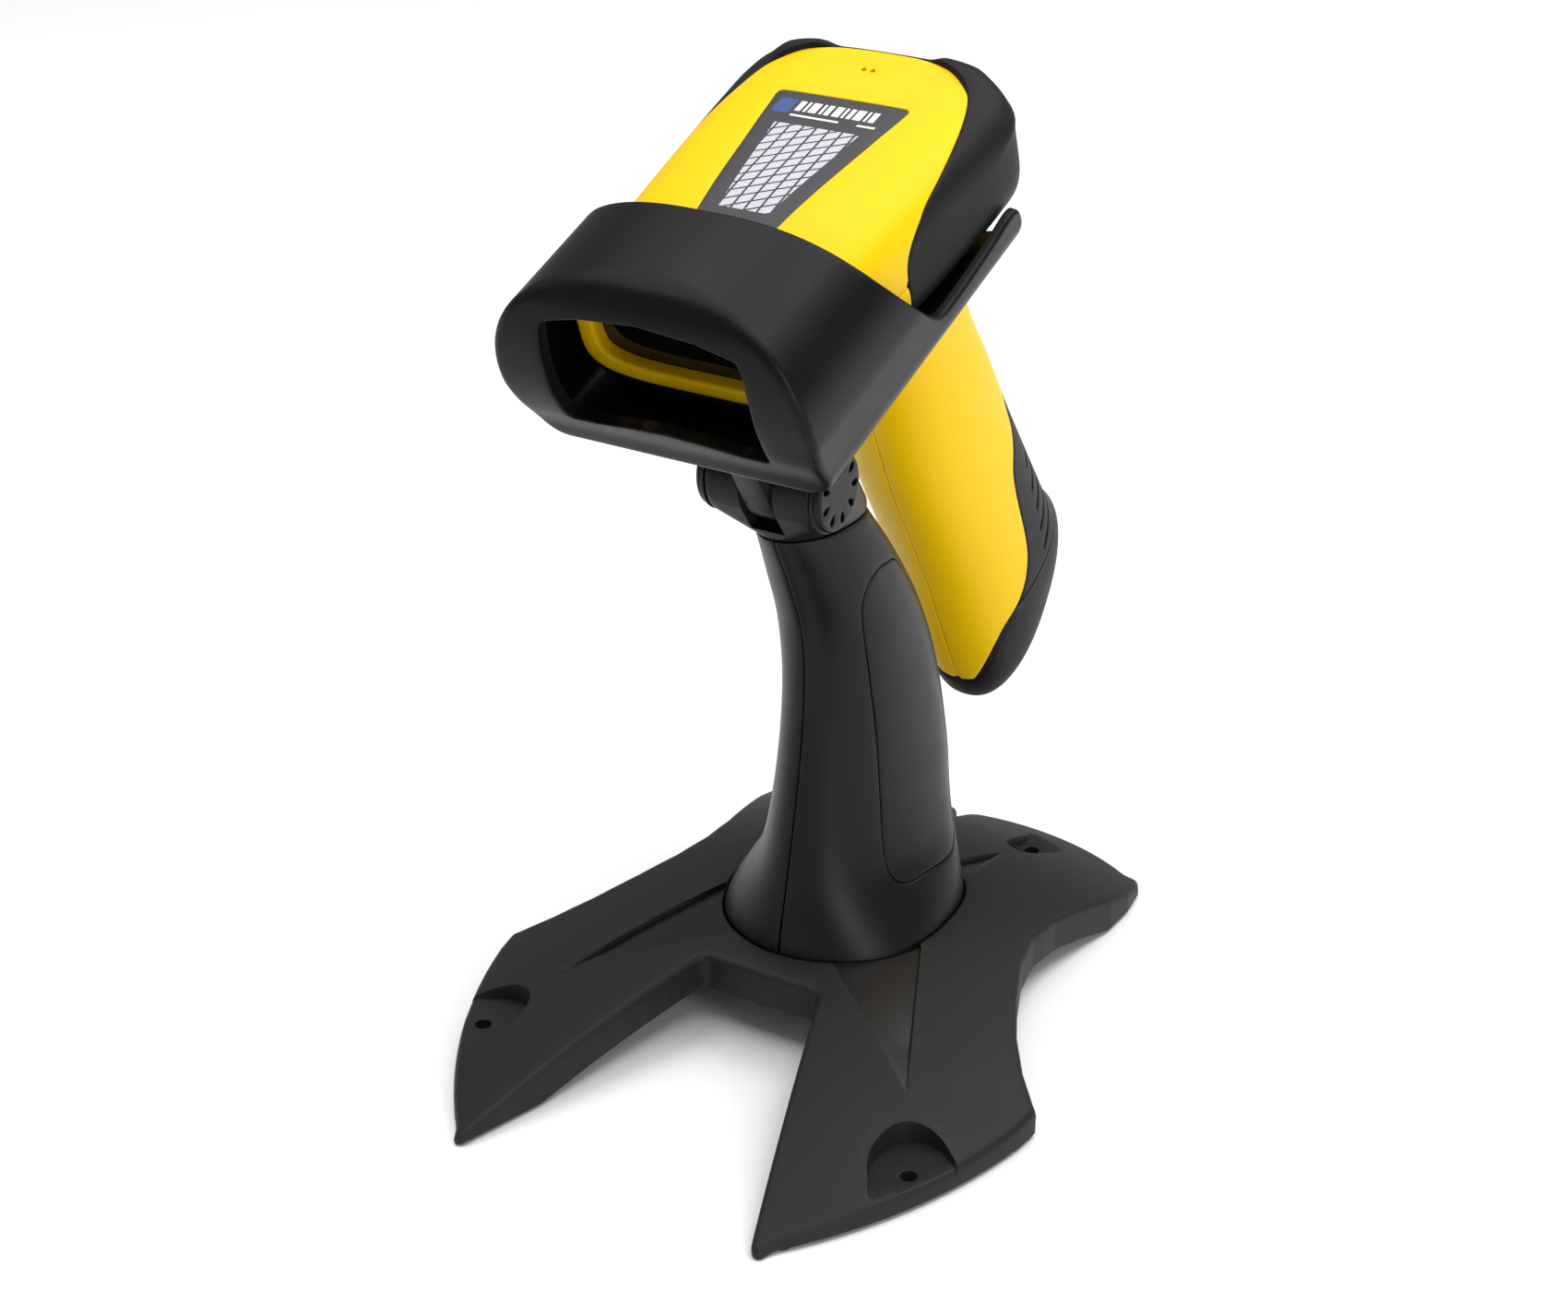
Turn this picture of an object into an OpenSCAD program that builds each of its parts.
// Handheld barcode scanner parked in the tilting cradle of a four-legged hands-free stand.
// Millimetres. +Z is up, -Y is the reading side, and X is the object's plane of symmetry.
// The origin is the centre of the footprint on the floor.

/* [Stand] */
// Height of the base's crown above the floor
crown_h = 24; // [22:1:27]
// Wall thickness of the base shell
base_wall = 3; // [2.5:0.5:4]
// Wall thickness of the column halves
column_wall = 2.6; // [2:0.2:3.2]
// Radius of the desk screw holes
desk_hole_r = 2; // [1.5:0.25:2.5]
// Height of the hinge axis above the floor
hinge_z = 150.8; // [148:0.2:153]

/* [Cradle] */
// Tilt of the parked scanner's head, nose down
head_tilt = 19; // [17:1:21]
// Wall thickness of the cradle
cradle_wall = 2.2; // [2:0.1:2.5]
// Width of the hinge lug under the cradle
lug_w = 7; // [6:0.5:7.5]

/* [Scanner] */
// Wall thickness of the scanner's casings
case_wall = 2.2; // [1.8:0.2:2.6]
// Half width of the head at the nose
nose_half_w = 31; // [30:0.5:32]
// Half width of the handle
handle_half_w = 17.5; // [16:0.5:18]
// Number of slits in the grip cover
slits = 6; // [4:1:7]

/* [Hinge] */
// Radius of the hinge barrel
barrel_r = 10.2; // [9.6:0.2:10.6]
// Radius of the hinge bolt
bolt_r = 3; // [2.5:0.5:3]
// Radial clearance of a running pin
running_gap = 0.05; // [0.02:0.01:0.09]

/* [Hidden] */

// The column's foot stands this far behind the centre of the footprint
foot_y = 3.2;
// Clearance between pieces that are screwed or clipped together
fit_gap = 0.15;
// Points around a lofted section
ring_n = 24;

// Desk screws, right-hand side: place, height of the recess's floor, and its radius
desk_screws = [[59.8, -74.8, 5.8, 10], [24.6, 62.9, 9.4, 7.5]];
pad_h = 1.2;
pad_places = [[43, -104], [70, -44], [46, 70], [10, 72]];
// Depth of the base's edge below its domed top, and the height of the column's seat
edge_depth = 9.3;
seat_z = 19;

// Hinge axis behind the foot's centre, and the head frame's origin at the cradle's lower lip
hinge_y = -31.8;
head_y = -72;
head_z = 172.5;
slot_w = 9;
cap_face = 16.3;
arm_end = 13.8;

// Column stations: height, then front, rear, half width and widest place
column_front = [[12, -32.5], [22, -32.2], [40, -28], [60, -23.6], [85, -19.8], [105, -20.5], [122, -27],
    [136, -34.2]];
column_rear = [[12, 31.8], [22, 31.8], [40, 36], [60, 36.6], [85, 30.6], [105, 20.5], [122, 8.2],
    [136, -3.2]];
column_half = [[12, 29], [22, 28.8], [40, 20.4], [60, 17.2], [85, 15.5], [105, 14.8], [122, 13.6],
    [136, 11.6]];
column_wide = [[12, 0], [22, 0.5], [40, 10.4], [60, 13.8], [85, 10.2], [105, 1.4], [122, -7.6],
    [136, -15]];
column_z = [19.1, 24, 31, 40, 54, 70, 88, 106, 122, 135.8];

// Head stations along its length: half width, top and bottom
head_half = [[15, nose_half_w], [40, 32], [70, 34], [90, 35], [100, 33.6], [106, 28], [108.5, 22]];
head_top = [[15, 32.4], [40, 34.8], [70, 33.8], [85, 33], [96, 33], [104, 33], [108.5, 28.5]];
head_bottom = [[15, 2.5], [25, 0.6], [40, 0], [90, 0], [102, 0], [108.5, 4]];
head_s = [15, 24, 40, 56, 72, 88, 97, 103, 107, 108.5];

// Handle stations down from the head: front, rear and half width
handle_front = [[-154, 96], [-148, 92.5], [-135, 89], [-115, 84], [-95, 79.5], [-75, 75], [-50, 71.5],
    [-28, 66.5], [-10, 58], [6, 50]];
handle_rear = [[-154, 134], [-148, 137.8], [-135, 137.6], [-115, 132.4], [-95, 126.2], [-75, 120],
    [-55, 114.2], [-40, 109], [-25, 105], [-8, 104], [6, 105]];
handle_half = [[-154, 14], [-148, 17.4], [-135, handle_half_w + 0.9], [-95, handle_half_w + 0.4],
    [-60, handle_half_w], [-28, handle_half_w + 0.4], [-8, 20], [6, 24]];
handle_u = [-154, -151, -148, -145, -130, -105, -75, -50, -30, -12, 6];
// The same stations for the hollow, which is open at the nose
cavity_s = [14, 24, 40, 56, 72, 88, 97, 103, 105.4];
cavity_u = [-151, -145, -130, -105, -75, -50, -30, -12, 6];

// Side outlines of the pieces that divide the scanner's shell, in the head frame
bumper_side = [[48.4, 3], [48.4, 44], [114, 44], [114, 3]];
cover_side = [[10, 15], [48.4, 15], [48.8, 17.5], [52.2, 21.5], [56.5, 24], [61, 25.5], [71, 27],
    [86, 28.6], [100, 30], [108, 30.5], [108, 44], [10, 44]];
// Plan outline of the top cover, right-hand side
cover_plan = [[0, 104.1], [10, 103.4], [16.7, 101.7], [21.3, 99.5], [25.1, 96], [27.4, 92], [29, 86],
    [30.4, 78.6], [31.4, 71], [32.2, 61], [32.6, 55], [32.7, 48.4], [60, 48.4], [60, 10], [0, 10]];
grip_side = [[120.5, -66], [116.5, -76], [112.2, -90], [111, -104], [112, -118], [110.4, -130],
    [107, -137.8], [145, -124], [145, -66]];
cap_side = [[145, -124.3], [107, -138.1], [98, -144.8], [84, -151.5], [84, -175], [145, -175]];
trigger_pin_s = 70;
trigger_pin_u = -10;
trigger_pin_r = 1.2;
trigger_half_w = 6.4;

function clamp01(v) = max(0, min(1, v));
function step_at(t, p, i = 0) = i + 2 >= len(t) || p < t[i + 1][0] ? i : step_at(t, p, i + 1);
function knot_slope(t, i) = let (a = max(i - 1, 0), b = min(i + 1, len(t) - 1))
    (t[b][1] - t[a][1]) / (t[b][0] - t[a][0]);
function hermite(v0, v1, m0, m1, q) = v0 * (2 * q ^ 3 - 3 * q ^ 2 + 1) + m0 * (q ^ 3 - 2 * q ^ 2 + q)
    + v1 * (3 * q ^ 2 - 2 * q ^ 3) + m1 * (q ^ 3 - q ^ 2);
// Value at p of the smooth curve through the stations t
function along(t, p) = let (i = step_at(t, p), h = t[i + 1][0] - t[i][0], q = clamp01((p - t[i][0]) / h))
    hermite(t[i][1], t[i + 1][1], h * knot_slope(t, i), h * knot_slope(t, i + 1), q);
function power(v, e) = sign(v) * abs(v) ^ e;
function arc(c, r, a0, a1, n) = [for (i = [0:n]) c + r * [cos(a0 + (a1 - a0) * i / n),
    sin(a0 + (a1 - a0) * i / n)]];
function mirrored(points) = [for (i = [len(points) - 1:-1:0]) [-points[i][0], points[i][1]]];

// A freeform shell, kept as one mesh
module freeform() {
    resize([0, 0, 0]) union() children();
}

// A closed solid through rings that all have the same number of points, each counter-clockwise
// seen from the last ring
module loft(rings) {
    n = len(rings[0]);
    m = len(rings);
    sides = [for (k = [0:m - 2], i = [0:n - 1], h = [0, 1]) let (j = (i + 1) % n)
        h == 0 ? [k * n + i, (k + 1) * n + j, k * n + j] : [k * n + i, (k + 1) * n + i, (k + 1) * n + j]];
    polyhedron([for (r = rings, p = r) p],
        concat([[for (i = [0:n - 1]) i]], sides, [[for (i = [n - 1:-1:0]) (m - 1) * n + i]]));
}

module at_foot() {
    translate([0, foot_y, 0]) children();
}

// The head frame: Y runs back along the head, Z is square to its top
module at_head() {
    translate([0, foot_y + head_y, head_z]) rotate([head_tilt, 0, 0]) children();
}

module at_hinge() {
    translate([0, foot_y + hinge_y, hinge_z]) rotate([0, 90, 0]) children();
}

// A side outline, given in the head frame, as a slab from x = x0 to x1
module side_slab(points, x0, x1) {
    translate([x0, 0, 0]) rotate([90, 0, 90]) linear_extrude(x1 - x0) polygon(points);
}

// ---------------------------------------------------------------- base
base_half = concat(
    [[0, -41], [9, -40.8], [15, -40.2], [16.6, -41], [17.4, -43], [20, -51], [39, -110.5],
        [40.2, -112.4], [42, -112]],
    arc([-58.2, -18.4], 136, -41.5, -12, 12),
    [[75.6, -40], [74.4, -39], [68, -32], [61.6, -22.5], [55.8, -10.5], [51, 2], [49, 13], [49.6, 25],
        [52, 38], [54.4, 50], [55, 60], [54, 69], [52, 73.4]],
    arc([26, 36], 43, 58, 122, 10),
    [[1.6, 69.6], [0.8, 64], [0, 60]]);

function dome_z(x, y, drop) = crown_h - drop - 19 * ((x / 88) ^ 2 + (y / (y < 0 ? 118 : 84)) ^ 2);

// Solid under the domed top lowered by drop, on a square grid, down to z = -40
module under_dome(drop) {
    n = 10;
    grid = [for (k = [0:n]) [for (i = [0:n]) let (x = -84 + 168 * i / n, y = -118 + 202 * k / n) [x, y,
        dome_z(x, y, drop)]]];
    m = n + 1;
    top = [for (k = [0:n - 1], i = [0:n - 1], h = [0, 1]) h == 0 ? [k * m + i, (k + 1) * m + i,
        (k + 1) * m + i + 1]
        : [k * m + i, (k + 1) * m + i + 1, k * m + i + 1]];
    rim = concat([for (i = [0:n - 1]) i], [for (k = [0:n - 1]) k * m + n], [for (i = [n:-1:1]) n * m + i],
        [for (k = [n:-1:1]) k * m]);
    b = m * m;
    r = len(rim);
    polyhedron(concat([for (row = grid, p = row) p], [for (v = rim) [grid[floor(v / m)][v % m][0],
        grid[floor(v / m)][v % m][1], -40]]),
        concat(top, [for (i = [0:r - 1]) let (j = (i + 1) % r) [rim[i], rim[j], b + j, b + i]],
            [[for (i = [0:r - 1]) b + i]]));
}

module each_hole() {
    for (side = [-1, 1], h = desk_screws) translate([side * h[0], h[1], 0]) children();
}

// Recesses around the desk screws, whose flat floors run out through the dome
module screw_pockets() {
    for (side = [-1, 1], h = desk_screws) {
        translate([side * h[0], h[1], h[2]]) cylinder(r = h[3], h = 20, $fn = 24);
    }
}

module each_pad() {
    for (side = [-1, 1], p = pad_places) translate([side * p[0], p[1], 0]) children();
}

function oval(a, b, n = 48) = [for (i = [0:n - 1]) [a * cos(360 * i / n), b * sin(360 * i / n)]];

// The base without its desk screw holes
module base_form() {
    outline = concat(base_half, mirrored(base_half));
    difference() {
        intersection() {
            translate([0, 0, pad_h]) linear_extrude(crown_h) polygon(outline);
            under_dome(0);
        }
        // Hollow underside, which leaves the walls, the column's seat and the bosses
        difference() {
            intersection() {
                translate([0, 0, -1]) linear_extrude(crown_h + 2)
                    polygon([for (p = outline) p * (1 - 1.97 * base_wall / norm(p))]);
                under_dome(base_wall);
            }
            translate([0, 0, seat_z - 3]) linear_extrude(20) polygon(oval(33, 36, 32));
            each_hole() cylinder(r = 12.5, h = crown_h, $fn = 24);
            each_pad() cylinder(r = 4, h = crown_h, $fn = 16);
        }
        // The lower edge follows the dome, so that only the legs' tips touch down
        under_dome(edge_depth);
        screw_pockets();
        // Oval seat of the column
        translate([0, 0, seat_z]) linear_extrude(20)
            polygon([for (p = column_ring(seat_z, -0.3)) [p[0], p[1]]]);
        for (side = [-1, 1]) translate([0, side * 20, 0]) cylinder(r = 2.2, h = 30, $fn = 24);
        for (side = [-1, 1]) translate([side * 24, 0, 0]) cylinder(r = 1.6, h = seat_z - 1, $fn = 24);
    }
}

module base_shell() {
    color([0.06, 0.06, 0.065]) at_foot() difference() {
        freeform() base_form();
        each_hole() translate([0, 0, -1]) cylinder(r = desk_hole_r, h = 20, $fn = 32);
    }
}

module ballast_plate() {
    color([0.45, 0.46, 0.48]) at_foot() translate([0, 0, seat_z - 6.1]) difference() {
        linear_extrude(3) polygon(oval(36, 33));
        for (side = [-1, 1]) translate([0, side * 20, -1]) cylinder(r = 5.4, h = 6, $fn = 36);
        for (side = [-1, 1]) translate([side * 24, 0, -1]) cylinder(r = 1.7, h = 6, $fn = 32);
    }
}

module ballast_screws() {
    color([0.7, 0.7, 0.72]) at_foot() for (side = [-1, 1]) translate([side * 24, 0, seat_z - 7.8]) {
        cylinder(r = 3, h = 1.6, $fn = 32);
        translate([0, 0, 1.6]) cylinder(r = 1.5, h = 4.8, $fn = 32);
    }
}

module foot_pads() {
    color([0.1, 0.1, 0.1]) at_foot() each_pad() cylinder(r = 2.6, h = pad_h, $fn = 32);
}

// ---------------------------------------------------------------- column
function column_ring(z, inset) = let (f = along(column_front, z) + inset, r = along(column_rear, z) - inset,
    a = along(column_half, z) - inset, w = along(column_wide, z))
    [for (i = [0:ring_n - 1]) let (t = 360 * i / ring_n, c = cos(t), s = sin(t), e = s > 0 ? 2 / 2.6 : 1)
        [a * power(c, e), w + (s > 0 ? (r - w) : (w - f)) * power(s, e), z]];

module column_body(inset) {
    loft([for (z = column_z) column_ring(z, inset)]);
}

teardrop = [[-2.4, 121], [-8.3, 121.3], [-12, 118.8], [-13.3, 114], [-12, 106.8], [-8.6, 91], [-6.6, 74],
    [-6.8, 57], [-8.1, 44], [-8.4, 39.5], [-7.4, 36], [-4, 34.2], [4, 33.6], [16, 32.5], [23, 34.5],
    [26, 40], [28, 52], [26.5, 68], [22, 86], [14, 104], [7, 114], [2, 119.5]];

module teardrop_slab(grow, x0) {
    c = [8, 70];
    k = 1 + grow / 40;
    translate([x0, 0, 0]) rotate([90, 0, 90]) linear_extrude(40) polygon([for (p = teardrop) c + (p - c)
        * k]);
}

module column_half_shell() {
    freeform() difference() {
        column_body(0);
        difference() {
            column_body(column_wall);
            translate([-40, -40, 0]) cube([80, 80, seat_z + 3]);
        }
        translate([-60 + fit_gap / 2, -80, 0]) cube([60, 160, 160]);
        difference() {
            teardrop_slab(fit_gap, 3);
            column_body(1.3);
        }
        for (side = [-1, 1]) translate([0, side * 20, 0]) cylinder(r = 1.9, h = 30, $fn = 24);
    }
}

module column_right() {
    color([0.06, 0.06, 0.065]) at_foot() column_half_shell();
}

module column_left() {
    color([0.06, 0.06, 0.065]) at_foot() mirror([1, 0, 0]) column_half_shell();
}

module side_cover() {
    freeform() intersection() {
        difference() {
            column_body(0.1);
            column_body(1.2);
        }
        teardrop_slab(0, 3);
    }
}

module side_cover_right() {
    color([0.07, 0.07, 0.075]) at_foot() side_cover();
}

module side_cover_left() {
    color([0.07, 0.07, 0.075]) at_foot() mirror([1, 0, 0]) side_cover();
}

module column_screws() {
    color([0.7, 0.7, 0.72]) at_foot() for (side = [-1, 1]) translate([0, side * 20, 0]) {
        translate([0, 0, seat_z - 5.3]) cylinder(r = 3.6, h = 2.3, $fn = 32);
        translate([0, 0, seat_z - 3]) cylinder(r = 1.75, h = 10, $fn = 32);
    }
}

// ---------------------------------------------------------------- hinge
module yoke_head() {
    color([0.06, 0.06, 0.065]) difference() {
        hull() {
            at_foot() translate([0, 0, 136]) linear_extrude(2)
                polygon([for (p = column_ring(136, 0)) [p[0], p[1]]]);
            at_hinge() cylinder(r = barrel_r, h = 2 * arm_end, center = true, $fn = 32);
        }
        // Slot for the cradle's lug
        translate([-slot_w / 2, foot_y - 46, hinge_z - barrel_r - 1.6]) cube([slot_w, 60, 40]);
        at_hinge() cylinder(r = bolt_r + running_gap, h = 60, center = true, $fn = 40);
        // Counterbores for the bolt's head and the nut
        at_hinge() translate([0, 0, arm_end - 3.6]) cylinder(r = 6, h = 10, $fn = 40);
        at_hinge() translate([0, 0, -arm_end - 6.4]) cylinder(r = 6, h = 10, $fn = 40);
    }
}

module hinge_bolt() {
    color([0.7, 0.7, 0.72]) at_hinge() {
        translate([0, 0, -arm_end + 0.5]) cylinder(r = bolt_r, h = 2 * arm_end - 3.6, $fn = 40);
        translate([0, 0, arm_end - 3.5]) cylinder(r = 5.4, h = 3, $fn = 40);
    }
}

module hinge_nut() {
    color([0.7, 0.7, 0.72]) at_hinge() translate([0, 0, -arm_end + 0.3]) difference() {
        cylinder(r = 5.6, h = 3.1, $fn = 6);
        translate([0, 0, -1]) cylinder(r = bolt_r + 0.01, h = 6, $fn = 40);
    }
}

// Round cap with a ring of teardrop slots
module hinge_cap() {
    difference() {
        translate([0, 0, arm_end + 0.1]) cylinder(r = 9.4, h = cap_face - arm_end - 0.1, $fn = 64);
        for (i = [0:8]) rotate([0, 0, 40 * i + 20]) translate([6.4, 0, arm_end + 1.4]) cylinder(r = 0.8,
            h = 3, $fn = 20);
    }
}

module hinge_cap_right() {
    color([0.06, 0.06, 0.065]) at_hinge() hinge_cap();
}

module hinge_cap_left() {
    color([0.06, 0.06, 0.065]) at_hinge() mirror([0, 0, 1]) hinge_cap();
}

module friction_washers() {
    color([0.75, 0.75, 0.72]) at_hinge() for (side = [0, 1]) mirror([0, 0, side]) difference() {
        translate([0, 0, lug_w / 2 + 0.1]) cylinder(r = 8, h = (slot_w - lug_w) / 2 - 0.2, $fn = 48);
        cylinder(r = bolt_r + running_gap, h = 20, $fn = 40);
    }
}

// ---------------------------------------------------------------- cradle
// Arch-shaped section, x to the right and up the head's normal
function cradle_section(inset) = let (a = 38.6 - inset, top = 44.4 - inset, low = -4.8 + inset)
    concat([for (i = [0:4]) let (t = -90 + 90 * i / 4) [a - 9 + 7.4 * cos(t), low + 8 + 8 * sin(t)]],
        [for (i = [1:15]) let (t = 6 * i) [a * power(cos(t), 0.72), 14 + (top - 14) * power(sin(t),
            0.78)]]);

module cradle_prism(inset, s0, s1) {
    half = cradle_section(inset);
    rotate([90, 0, 0]) mirror([0, 0, 1]) translate([0, 0, s0]) linear_extrude(s1 - s0)
        polygon(concat(half, mirrored(half)));
}

// Side outline: front lip, top of the band, its rear edge, the valley, and the wings
cradle_side = [[0, -6], [-0.6, 1], [-4.4, 8], [-6.6, 15], [-7.2, 22], [-6.8, 30], [-5.2, 37.5], [-1.5,
    42], [3, 46], [26, 46],
    [27, 40], [29.5, 34], [33.6, 26], [38, 19.5], [44, 12.5], [48, 7.4], [52, 5], [58, 5], [74, 6], [90,
        8], [93.5, 6.4],
    [95, 3], [94.6, 0], [92, -3.4], [88, -6]];
cavity_side = [[2.6, -0.4], [2.4, 1], [-1.4, 8], [-3.6, 15], [-4.2, 22], [-3.8, 30], [-2, 37.5], [4, 42],
    [10, 50], [110, 50],
    [110, -0.4]];

module cradle() {
    opening = [[-25, 5.6], [-12, 6.8], [0, 8], [12, 6.8], [25, 5.6], [25.4, 14], [25.2, 24], [24.8, 31],
        [22, 33.6], [12, 35.4],
        [0, 36.4], [-12, 35.4], [-22, 33.6], [-24.8, 31], [-25.2, 24], [-25.4, 14]];
    color([0.06, 0.06, 0.065]) difference() {
        union() {
            at_head() difference() {
                intersection() {
                    cradle_prism(0, -12, 98);
                    side_slab(cradle_side, -60, 60);
                }
                intersection() {
                    cradle_prism(cradle_wall, -12, 120);
                    side_slab(cavity_side, -60, 60);
                }
                rotate([90, 0, 0]) mirror([0, 0, 1]) translate([0, 0,
                    -20]) linear_extrude(30) polygon(opening);
                // Bay for the handle, open at the back
                translate([-23, 71, -10]) cube([46, 60, 16]);
                translate([0, 71, -10]) cylinder(r = 23, h = 16, $fn = 64);
            }
            hull() {
                at_hinge() cylinder(r = 9.4, h = lug_w, center = true, $fn = 32);
                at_head() translate([-lug_w / 2, 16, -5]) cube([lug_w, 30, 1.4]);
            }
        }
        at_hinge() cylinder(r = bolt_r + running_gap, h = 40, center = true, $fn = 40);
    }
}

// ---------------------------------------------------------------- scanner shells
function head_ring(s, inset) = let (a = along(head_half, s) - inset, t1 = along(head_top, s) - inset,
    t0 = along(head_bottom, s) + inset, c = (t0 + t1) / 2, h = (t1 - t0) / 2)
    [for (i = [0:ring_n - 1]) let (t = 360 * i / ring_n) [-a * power(cos(t), 0.5), s,
        c + h * power(sin(t), 0.5)]];

module head_body(inset) {
    loft([for (s = head_s) head_ring(min(s, 108.5 - inset), inset)]);
}

// The handle's foot is cut on a slant, lower in front
function slant(s, u) = let (q = clamp01((-110 - u) / 40)) 0.43 * (s - 116) * (3 - 2 * q) * q ^ 2;

function handle_ring(u, inset) = let (f = along(handle_front, u) + inset, r = along(handle_rear, u) - inset,
    a = along(handle_half, u) - inset)
    [for (i = [0:ring_n - 1]) let (t = 360 * i / ring_n, s = (f + r) / 2 + (r - f) / 2 * power(sin(t), 0.86))
        [a * power(cos(t), 0.86), s, u + slant(s, u)]];

module handle_body(inset) {
    loft([for (u = handle_u) handle_ring(u, inset)]);
}

module casing_outside() {
    head_body(0);
    handle_body(0);
}

module casing_inside() {
    loft([for (s = cavity_s) head_ring(s, case_wall)]);
    loft([for (u = cavity_u) handle_ring(u, case_wall)]);
}

module casing_shell() {
    difference() {
        casing_outside();
        casing_inside();
    }
}

// Where the casing halves' screws pass, in the head frame
screw_places = [[112.5, -88], [98, -58], [104, -133]];

module body_half() {
    freeform() difference() {
        union() {
            casing_shell();
            for (p = screw_places) translate([0, p[0], p[1]]) rotate([0, 90, 0]) cylinder(r = 3.2,
                h = 16.6, $fn = 16);
            // Cheek that holds the trigger's pin
            translate([0, 0, -14]) linear_extrude(8) polygon([[7, 67], [14, 67], [17.3, 74], [7, 74]]);
        }
        translate([-60 + fit_gap / 2, -20, -200]) cube([60, 200, 300]);
        translate([0, -fit_gap, -fit_gap]) side_slab(bumper_side, -60, 60);
        cover_zone(fit_gap);
        translate([0, -fit_gap, 0]) side_slab(grip_side, -60, 60);
        translate([0, 0, fit_gap]) side_slab(cap_side, -60, 60);
        // Trigger slot, and the holes of the trigger's pin and the screws
        translate([-trigger_half_w - 0.5, 40, -42]) cube([2 * trigger_half_w + 1, 34, 38]);
        translate([0, trigger_pin_s, trigger_pin_u]) rotate([0, 90, 0]) cylinder(r = trigger_pin_r + 0.1,
            h = 9.6, $fn = 24);
        for (p = screw_places) translate([-1, p[0], p[1]]) rotate([0, 90, 0]) cylinder(r = 1.4, h = 12,
            $fn = 16);
    }
}

module body_right() {
    color([1, 0.8, 0.05]) at_head() body_half();
}

module body_left() {
    color([1, 0.8, 0.05]) at_head() mirror([1, 0, 0]) body_half();
}

// The part of the head that the top cover takes up
module cover_zone(gap) {
    half = [for (p = cover_plan) [p[0] + gap, p[1]]];
    translate([0, 0, -gap]) intersection() {
        side_slab(cover_side, -60, 60);
        linear_extrude(60) polygon(concat(half, mirrored(half)));
    }
}

module top_cover() {
    color([1, 0.8, 0.05]) at_head() {
        freeform() difference() {
            intersection() {
                head_body(0);
                cover_zone(0);
            }
            casing_inside();
            label_slab(fit_gap, 1.6);
            for (side = [-1, 1]) translate([side * 1.9, 96.5, 24]) cylinder(r = 0.9, h = 12, $fn = 16);
        }
    }
}

// Trapezoid that widens towards the back, between two depths under the head's top
module label_slab(grow, depth) {
    difference() {
        translate([0, 0, 10]) linear_extrude(40) polygon([[-17 - grow, 85 + grow], [17 + grow, 85 + grow],
            [9.5 + grow, 31 - grow], [-9.5 - grow, 31 - grow]]);
        head_body(depth);
    }
}

module label_plate() {
    color([0.16, 0.16, 0.17]) at_head() freeform() intersection() {
        head_body(0.1);
        label_slab(0, 1.4);
    }
}

module rear_bumper() {
    color([0.05, 0.05, 0.055]) at_head() freeform() difference() {
        union() {
            intersection() {
                head_body(0);
                side_slab(bumper_side, -60, 60);
            }
            // Raised ears behind the top cover
            for (side = [0, 1]) mirror([side, 0, 0]) intersection() {
                head_body(-1.3);
                translate([0, 0, 24]) linear_extrude(20)
                    polygon([[13, 108.5], [13, 101], [20, 98], [25, 95], [26.5, 97], [25.5, 108.5]]);
            }
        }
        casing_inside();
        cover_zone(fit_gap);
    }
}

module grip_cover() {
    color([0.05, 0.05, 0.055]) at_head() freeform() difference() {
        intersection() {
            difference() {
                handle_body(0);
                casing_inside();
            }
            side_slab(grip_side, -60, 60);
        }
        for (i = [0:slits - 1]) translate([-9, 118 + 2.2 * i, -84 - 6.4 * i]) rotate([-17, 0, 0])
            cube([18, 20, 1.4]);
    }
}

module handle_cap() {
    color([0.05, 0.05, 0.055]) at_head() freeform() difference() {
        intersection() {
            difference() {
                handle_body(0);
                casing_inside();
            }
            side_slab(cap_side, -60, 60);
        }
        translate([-7.2, 107.3, -165]) cube([14.4, 11.4, 25]);
    }
}

module cable_socket() {
    color([0.12, 0.12, 0.12]) at_head() difference() {
        translate([-7, 107.5, -153]) cube([14, 11, 16]);
        translate([-5.8, 108.7, -154]) cube([11.6, 8.6, 14]);
    }
}

// ---------------------------------------------------------------- nose
function nose_outline(a, low, top) = let (c = (low + top) / 2, h = (top - low) / 2)
    [for (i = [0:ring_n - 1]) let (t = 360 * i / ring_n) [a * power(cos(t), 0.5), c + h * power(sin(t),
        0.5)]];

module nose_slab(a, low, top, s0, s1) {
    rotate([90, 0, 0]) mirror([0, 0, 1]) translate([0, 0, s0]) linear_extrude(s1 - s0)
        polygon(nose_outline(a, low, top));
}

module nose_bezel() {
    color([1, 0.8, 0.05]) at_head() difference() {
        nose_slab(nose_half_w - 0.2, 2.8, 32.2, 11.4, 14.85);
        nose_slab(nose_half_w - 6, 9.4, 27, 10, 16);
    }
}

module scan_window() {
    color([0.08, 0.03, 0.04]) at_head() nose_slab(nose_half_w - 3, 5.6, 29.4, 14.9, 16.7);
}

module indicator_lenses() {
    color([0.9, 0.95, 0.85]) at_head() for (side = [-1, 1]) {
        translate([side * 1.9, 96.5, 26.6]) cylinder(r = 0.8, h = 4.8, $fn = 20);
    }
}

// ---------------------------------------------------------------- inside the scanner
module main_board() {
    color([0.05, 0.35, 0.2]) at_head() translate([-22, 44, 8]) cube([44, 54, 1.6]);
}

module scan_engine() {
    color([0.15, 0.15, 0.16]) at_head() difference() {
        translate([-12, 26, 11]) cube([24, 16, 13]);
        translate([0, 24, 17.5]) rotate([-90, 0, 0]) cylinder(r = 3.6, h = 8, $fn = 40);
    }
}

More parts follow.
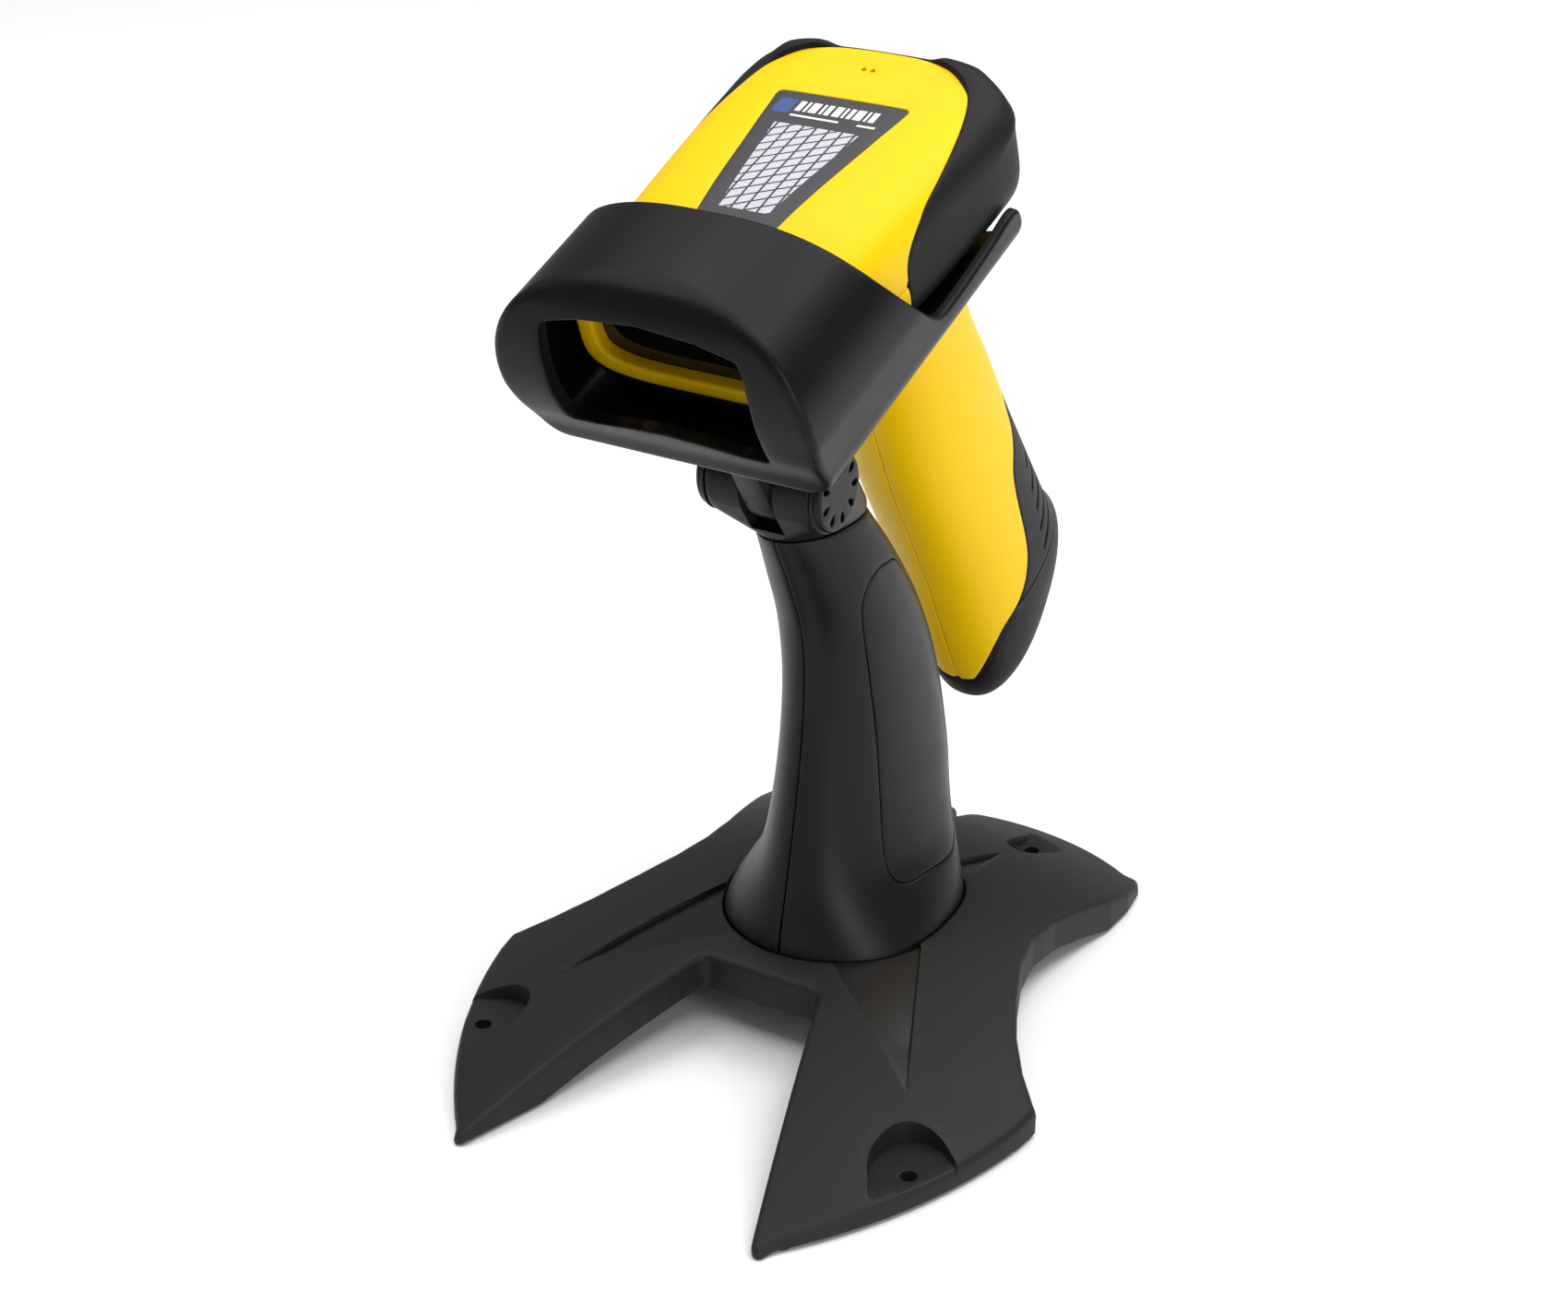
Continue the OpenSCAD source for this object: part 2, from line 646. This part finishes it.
module engine_lens() {
    color([0.5, 0.6, 0.7]) at_head() translate([0, 26.4, 17.5]) rotate([-90, 0, 0]) cylinder(r = 3.5,
        h = 5, $fn = 40);
}

module beeper() {
    color([0.1, 0.1, 0.1]) at_head() translate([0, 84, 9.7]) difference() {
        cylinder(r = 6, h = 8, $fn = 48);
        translate([0, 0, 6]) cylinder(r = 1.2, h = 4, $fn = 24);
    }
}

module micro_switch() {
    color([0.12, 0.12, 0.12]) at_head() translate([-4, 82, -34]) cube([8, 8, 12]);
}

module battery() {
    color([0.2, 0.4, 0.7]) at_head() translate([0, 91, -66]) rotate([14.5, 0, 0]) translate([0, 0, -58])
        cylinder(r = 9, h = 58, $fn = 48);
}

module body_screws() {
    color([0.7, 0.7, 0.72]) at_head() for (p = screw_places) translate([-10.5, p[0], p[1]]) rotate([0,
        90, 0]) {
        cylinder(r = 1.25, h = 21, $fn = 32);
    }
}

module trigger_pin() {
    color([0.7, 0.7, 0.72]) at_head() translate([-9.4, trigger_pin_s, trigger_pin_u]) rotate([0, 90, 0]) {
        cylinder(r = trigger_pin_r, h = 18.8, $fn = 32);
    }
}

module trigger_spring() {
    turns = 3;
    wire = 0.35;
    coil = 2.4;
    n = 12;
    color([0.75, 0.75, 0.72]) at_head() translate([-2.6, trigger_pin_s, trigger_pin_u]) rotate([0, 90, 0])
        loft([for (k = [0:turns * n]) let (t = 360 * k / n) [for (i = [0:5]) let (a = -60 * i,
            r = coil + wire * cos(a))
            [r * cos(t), r * sin(t), 5.2 * k / (turns * n) + wire * sin(a)]]]);
}

trigger_side = [[56, -6.5], [66, -5.5], [73, -7], [73.4, -13], [72, -18], [71, -38.5], [66, -39.5],
    [64.6, -34], [62, -24],
    [57.6, -14]];

module trigger() {
    color([0.05, 0.05, 0.055]) at_head() difference() {
        side_slab(trigger_side, -trigger_half_w, trigger_half_w);
        translate([-20, trigger_pin_s, trigger_pin_u]) rotate([0, 90,
            0]) cylinder(r = trigger_pin_r + running_gap, h = 40, $fn = 32);
        // Room for the spring's coil
        translate([-3.4, trigger_pin_s - 4, trigger_pin_u - 4]) cube([6.8, 20, 12]);
    }
}

base_shell();
ballast_plate();
ballast_screws();
foot_pads();
column_left();
column_right();
column_screws();
side_cover_left();
side_cover_right();
yoke_head();
hinge_bolt();
hinge_nut();
hinge_cap_left();
hinge_cap_right();
friction_washers();
cradle();
body_left();
body_right();
top_cover();
label_plate();
nose_bezel();
scan_window();
rear_bumper();
grip_cover();
handle_cap();
cable_socket();
indicator_lenses();
main_board();
scan_engine();
engine_lens();
beeper();
micro_switch();
battery();
body_screws();
trigger_pin();
trigger_spring();
trigger();
